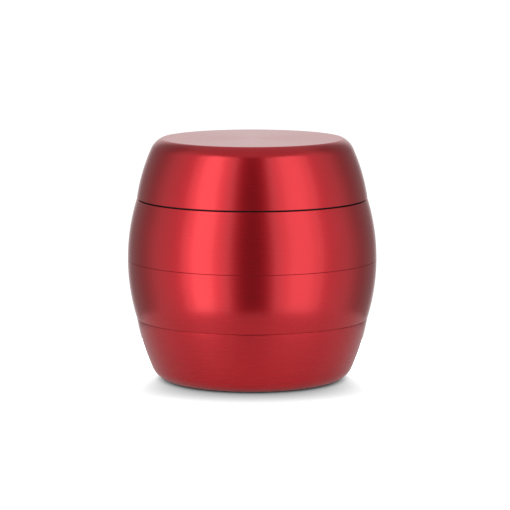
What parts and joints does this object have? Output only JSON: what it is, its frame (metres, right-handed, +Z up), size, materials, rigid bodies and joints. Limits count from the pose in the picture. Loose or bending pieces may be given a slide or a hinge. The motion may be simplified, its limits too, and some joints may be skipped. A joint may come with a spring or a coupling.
{
  "type": "herb grinder",
  "caption": "Barrel-shaped hand grinder turned from anodised aluminium: a toothed magnetic lid over a grinding chamber, a sieve chamber and a catcher that screw together.",
  "frame": {"origin": "centre of the flat underside of the catcher, on the axis that every section turns about", "axes": "+Z up along the common axis, towards the lid; X and Y are any two directions across the round body"},
  "size_m": [0.063, 0.063, 0.0612],
  "materials": {
    "red_anodised_aluminium": "lathe-turned, satin, anodised deep red",
    "stainless_steel": "plain stainless",
    "nickel_plate": "bright nickel plate",
    "black_acetal": "turned plastic",
    "grey_plastic": "moulded plastic"
  },
  "bodies": {
    "catcher_body": {"catcher": "red_anodised_aluminium"},
    "scraper_body": {"scraper": "grey_plastic"},
    "sieve_riser": {"spacer_ring": "stainless_steel"},
    "sieve_section": {"sieve_chamber": "red_anodised_aluminium", "mesh_frame": "stainless_steel", "sieve_mesh": "stainless_steel", "snap_ring": "stainless_steel"},
    "chamber_riser": {"chamber_magnet": "nickel_plate"},
    "chamber_section": {"grinding_chamber": "red_anodised_aluminium"},
    "lid_riser": {"friction_ring": "black_acetal"},
    "lid_section": {"lid": "red_anodised_aluminium", "lid_magnet": "nickel_plate"}
  },
  "joints": [
    {"name": "scraper_lift", "type": "slide", "parent": "catcher_body", "child": "scraper_body", "axis": [0, 0, 1], "range_m": [0, 0.014]},
    {"name": "sieve_rise", "type": "slide", "parent": "catcher_body", "child": "sieve_riser", "axis": [0, 0, 1], "range_m": [0, 0.004]},
    {"name": "sieve_unscrew", "type": "hinge", "parent": "sieve_riser", "child": "sieve_section", "pos_m": [0, 0, 0.0156], "axis": [0, 0, 1], "range_deg": [0, 720]},
    {"name": "chamber_rise", "type": "slide", "parent": "sieve_section", "child": "chamber_riser", "axis": [0, 0, 1], "range_m": [0, 0.004]},
    {"name": "chamber_unscrew", "type": "hinge", "parent": "chamber_riser", "child": "chamber_section", "pos_m": [0, 0, 0.0306], "axis": [0, 0, 1], "range_deg": [0, 720]},
    {"name": "lid_lift", "type": "slide", "parent": "chamber_section", "child": "lid_riser", "axis": [0, 0, 1], "range_m": [0, 0.04]},
    {"name": "lid_spin", "type": "hinge", "parent": "lid_riser", "child": "lid_section", "pos_m": [0, 0, 0.046], "axis": [0, 0, 1], "continuous": true}
  ],
  "couplings": [
    {"joint": "sieve_rise", "follows": "sieve_unscrew", "m_per_rad": 0.00031831},
    {"joint": "chamber_rise", "follows": "chamber_unscrew", "m_per_rad": 0.00031831}
  ]
}
